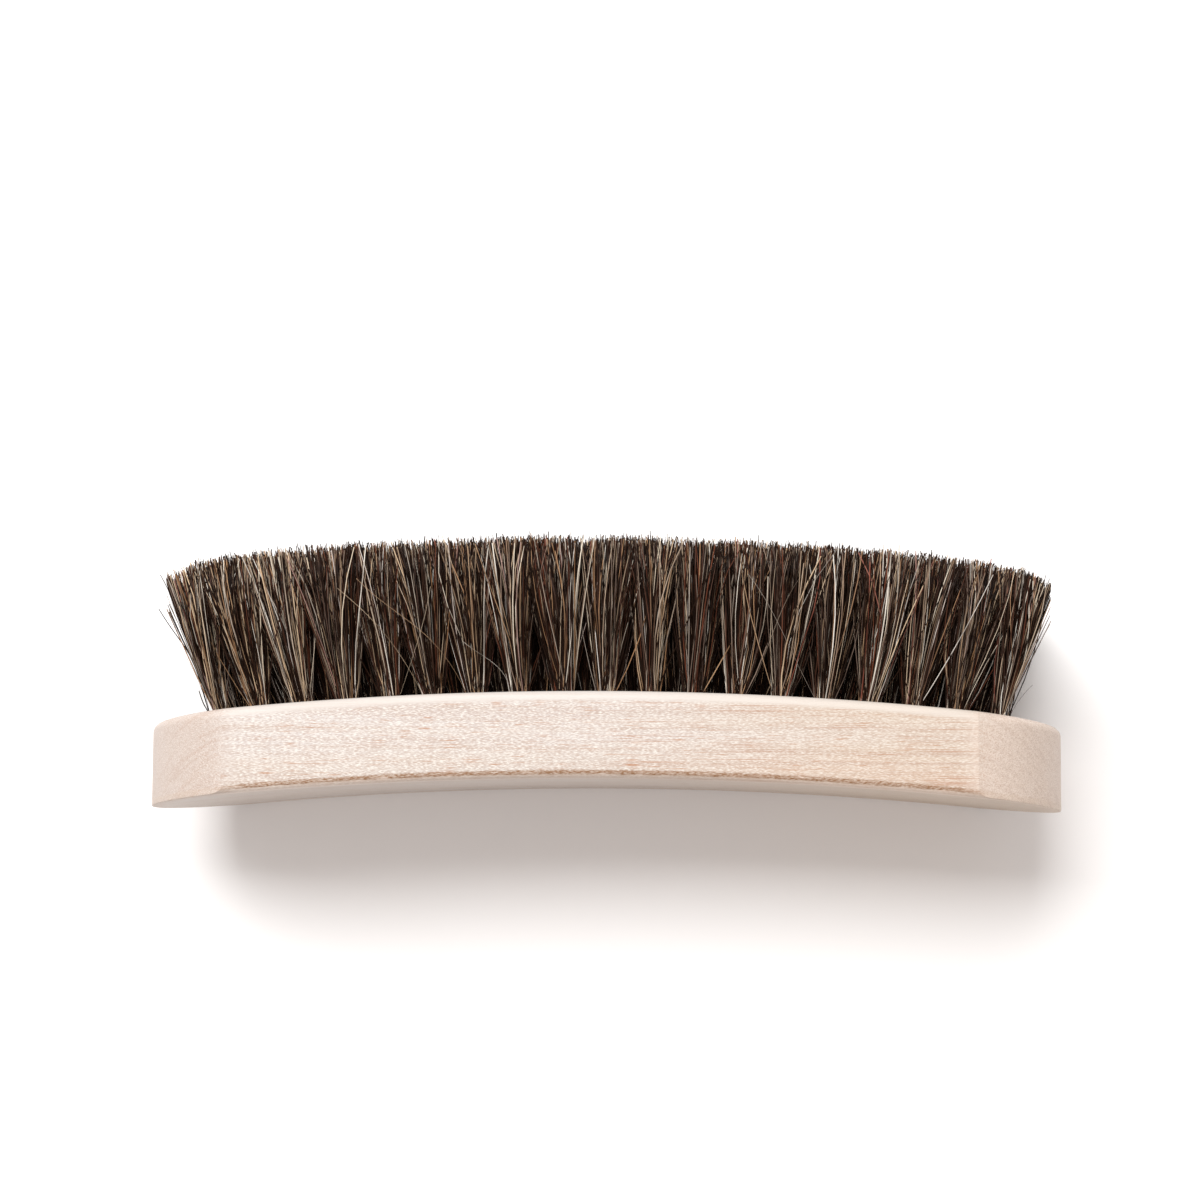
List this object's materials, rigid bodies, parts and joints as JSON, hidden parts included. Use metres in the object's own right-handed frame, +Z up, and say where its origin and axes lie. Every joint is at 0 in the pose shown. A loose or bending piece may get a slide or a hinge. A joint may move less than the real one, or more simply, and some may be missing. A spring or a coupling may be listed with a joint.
{
  "type": "shoe brush",
  "caption": "Horsehair shoe brush lying on its side, with an arched pale wooden block, rounded ends and a dense field of mixed dark hair tufts in its convex face.",
  "frame": {"origin": "centre of the flat side face that the brush lies on, at mid length and mid thickness of the block", "axes": "+X along the block's length, +Y from the wood to the bristle tips, +Z up out of the resting side face, across the block's width"},
  "size_m": [0.205, 0.059, 0.056],
  "materials": {
    "wood": "sanded, unfinished pale hardwood",
    "horsehair": "mixed black, brown, tan and grey natural hair with a soft sheen"
  },
  "bodies": {
    "root": {"wood_block": "wood", "tuft_strip_01": "horsehair", "tuft_strip_02": "horsehair", "tuft_strip_03": "horsehair", "tuft_strip_04": "horsehair", "tuft_strip_05": "horsehair", "tuft_strip_06": "horsehair", "tuft_strip_07": "horsehair", "tuft_strip_08": "horsehair", "tuft_strip_09": "horsehair", "tuft_strip_10": "horsehair", "tuft_strip_11": "horsehair", "tuft_strip_12": "horsehair", "tuft_strip_13": "horsehair", "tuft_strip_14": "horsehair", "tuft_strip_15": "horsehair", "tuft_strip_16": "horsehair", "tuft_strip_17": "horsehair", "tuft_strip_18": "horsehair", "tuft_strip_19": "horsehair"}
  },
  "joints": []
}
